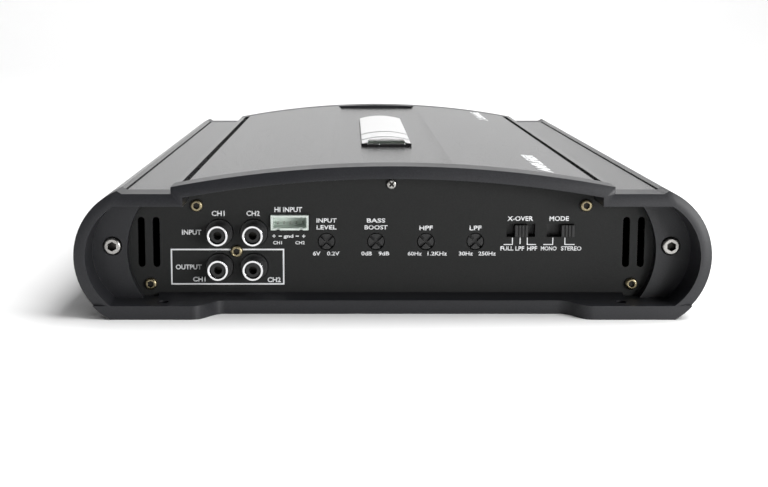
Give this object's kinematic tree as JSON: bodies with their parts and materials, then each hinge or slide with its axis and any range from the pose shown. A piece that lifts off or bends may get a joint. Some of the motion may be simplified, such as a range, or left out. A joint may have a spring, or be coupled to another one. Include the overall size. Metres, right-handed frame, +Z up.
{
  "type": "car amplifier",
  "caption": "Flat car audio amplifier: extruded heat-sink case between cast end caps with feet, recessed control panel at one end and screw terminals at the other.",
  "frame": {"origin": "middle of the footprint, on the plane of the undersides of the feet", "axes": "+Z up, -Y towards the control panel, +Y towards the power and speaker terminals, +X to the right when facing the control panel"},
  "size_m": [0.25, 0.32, 0.0622],
  "materials": {
    "anodised_aluminium": "dark anodised, fine lengthwise brushing",
    "cast_paint": "satin dark grey paint on cast metal",
    "sheet_paint": "matt dark grey paint on sheet metal",
    "black_plastic": "moulded, matt",
    "white_plastic": "moulded, satin",
    "chrome": "bright",
    "steel": "satin",
    "brass": "dull yellow zinc",
    "black_oxide": "matt black",
    "board": "green solder mask",
    "copper": "lacquered copper wire",
    "fuse": "translucent",
    "lamp": "clear blue"
  },
  "bodies": {
    "amplifier": {"heat_sink": "anodised_aluminium", "front_end_cap": "cast_paint", "rear_end_cap": "cast_paint", "control_panel": "sheet_paint", "terminal_panel": "sheet_paint", "bottom_plate": "sheet_paint", "badge_base": "chrome", "front_cap_screw_left": "steel", "front_cap_screw_right": "steel", "rear_cap_screw_left": "steel", "rear_cap_screw_right": "steel", "control_panel_screw_1": "brass", "control_panel_screw_2": "brass", "control_panel_screw_3": "brass", "control_panel_screw_4": "brass", "control_panel_screw_5": "steel", "terminal_panel_screw_1": "brass", "terminal_panel_screw_2": "brass", "rca_block_screw": "brass", "rca_block": "black_plastic", "rca_shell_1": "chrome", "rca_shell_2": "chrome", "rca_shell_3": "chrome", "rca_shell_4": "chrome", "hi_input_header": "white_plastic", "pot_body_1": "black_plastic", "pot_body_2": "black_plastic", "pot_body_3": "black_plastic", "pot_body_4": "black_plastic", "crossover_switch_body": "black_plastic", "mode_switch_body": "black_plastic", "power_terminal_block": "black_plastic", "speaker_terminal_block": "black_plastic", "fuse_holder": "black_plastic", "status_led": "lamp", "circuit_board": "board", "transformer": "copper", "capacitor_1": "black_plastic", "capacitor_2": "black_plastic", "transistor_clamp_left": "steel", "transistor_clamp_right": "steel", "transistor_1": "black_oxide", "transistor_2": "black_oxide", "transistor_3": "black_oxide", "transistor_4": "black_oxide"},
    "level_knob": {"level_knob": "black_plastic"},
    "boost_knob": {"boost_knob": "black_plastic"},
    "highpass_knob": {"highpass_knob": "black_plastic"},
    "lowpass_knob": {"lowpass_knob": "black_plastic"},
    "crossover_slider": {"crossover_slider": "black_plastic"},
    "mode_slider": {"mode_slider": "black_plastic"},
    "fuse_1": {"fuse_1": "fuse"},
    "fuse_2": {"fuse_2": "fuse"},
    "power_terminal_screw_1": {"power_terminal_screw_1": "chrome"},
    "power_terminal_screw_2": {"power_terminal_screw_2": "chrome"},
    "power_terminal_screw_3": {"power_terminal_screw_3": "chrome"},
    "speaker_terminal_screw_1": {"speaker_terminal_screw_1": "chrome"},
    "speaker_terminal_screw_2": {"speaker_terminal_screw_2": "chrome"},
    "speaker_terminal_screw_3": {"speaker_terminal_screw_3": "chrome"},
    "speaker_terminal_screw_4": {"speaker_terminal_screw_4": "chrome"}
  },
  "joints": [
    {"name": "level_knob_turn", "type": "hinge", "parent": "amplifier", "child": "level_knob", "pos_m": [-0.0262, -0.1417, 0.02775], "axis": [0, 1, 0], "range_deg": [-140, 140]},
    {"name": "boost_knob_turn", "type": "hinge", "parent": "amplifier", "child": "boost_knob", "pos_m": [-0.0062, -0.1417, 0.02775], "axis": [0, 1, 0], "range_deg": [-140, 140]},
    {"name": "highpass_knob_turn", "type": "hinge", "parent": "amplifier", "child": "highpass_knob", "pos_m": [0.014, -0.1417, 0.02775], "axis": [0, 1, 0], "range_deg": [-140, 140]},
    {"name": "lowpass_knob_turn", "type": "hinge", "parent": "amplifier", "child": "lowpass_knob", "pos_m": [0.034, -0.1417, 0.02775], "axis": [0, 1, 0], "range_deg": [-140, 140]},
    {"name": "crossover_slide", "type": "slide", "parent": "amplifier", "child": "crossover_slider", "axis": [1, 0, 0], "range_m": [-0.003, 0.003]},
    {"name": "mode_slide", "type": "slide", "parent": "amplifier", "child": "mode_slider", "axis": [1, 0, 0], "range_m": [-0.0056, 0]},
    {"name": "fuse_1_pull", "type": "slide", "parent": "amplifier", "child": "fuse_1", "axis": [0, 1, 0], "range_m": [0, 0.02]},
    {"name": "fuse_2_pull", "type": "slide", "parent": "amplifier", "child": "fuse_2", "axis": [0, 1, 0], "range_m": [0, 0.02]},
    {"name": "power_terminal_screw_1_turn", "type": "hinge", "parent": "amplifier", "child": "power_terminal_screw_1", "pos_m": [-0.073, 0.14785, 0.024], "axis": [0, 1, 0], "range_deg": [0, 720]},
    {"name": "power_terminal_screw_2_turn", "type": "hinge", "parent": "amplifier", "child": "power_terminal_screw_2", "pos_m": [-0.058, 0.14785, 0.024], "axis": [0, 1, 0], "range_deg": [0, 720]},
    {"name": "power_terminal_screw_3_turn", "type": "hinge", "parent": "amplifier", "child": "power_terminal_screw_3", "pos_m": [-0.043, 0.14785, 0.024], "axis": [0, 1, 0], "range_deg": [0, 720]},
    {"name": "speaker_terminal_screw_1_turn", "type": "hinge", "parent": "amplifier", "child": "speaker_terminal_screw_1", "pos_m": [0.0381, 0.14785, 0.024], "axis": [0, 1, 0], "range_deg": [0, 720]},
    {"name": "speaker_terminal_screw_2_turn", "type": "hinge", "parent": "amplifier", "child": "speaker_terminal_screw_2", "pos_m": [0.0507, 0.14785, 0.024], "axis": [0, 1, 0], "range_deg": [0, 720]},
    {"name": "speaker_terminal_screw_3_turn", "type": "hinge", "parent": "amplifier", "child": "speaker_terminal_screw_3", "pos_m": [0.0633, 0.14785, 0.024], "axis": [0, 1, 0], "range_deg": [0, 720]},
    {"name": "speaker_terminal_screw_4_turn", "type": "hinge", "parent": "amplifier", "child": "speaker_terminal_screw_4", "pos_m": [0.0759, 0.14785, 0.024], "axis": [0, 1, 0], "range_deg": [0, 720]}
  ]
}
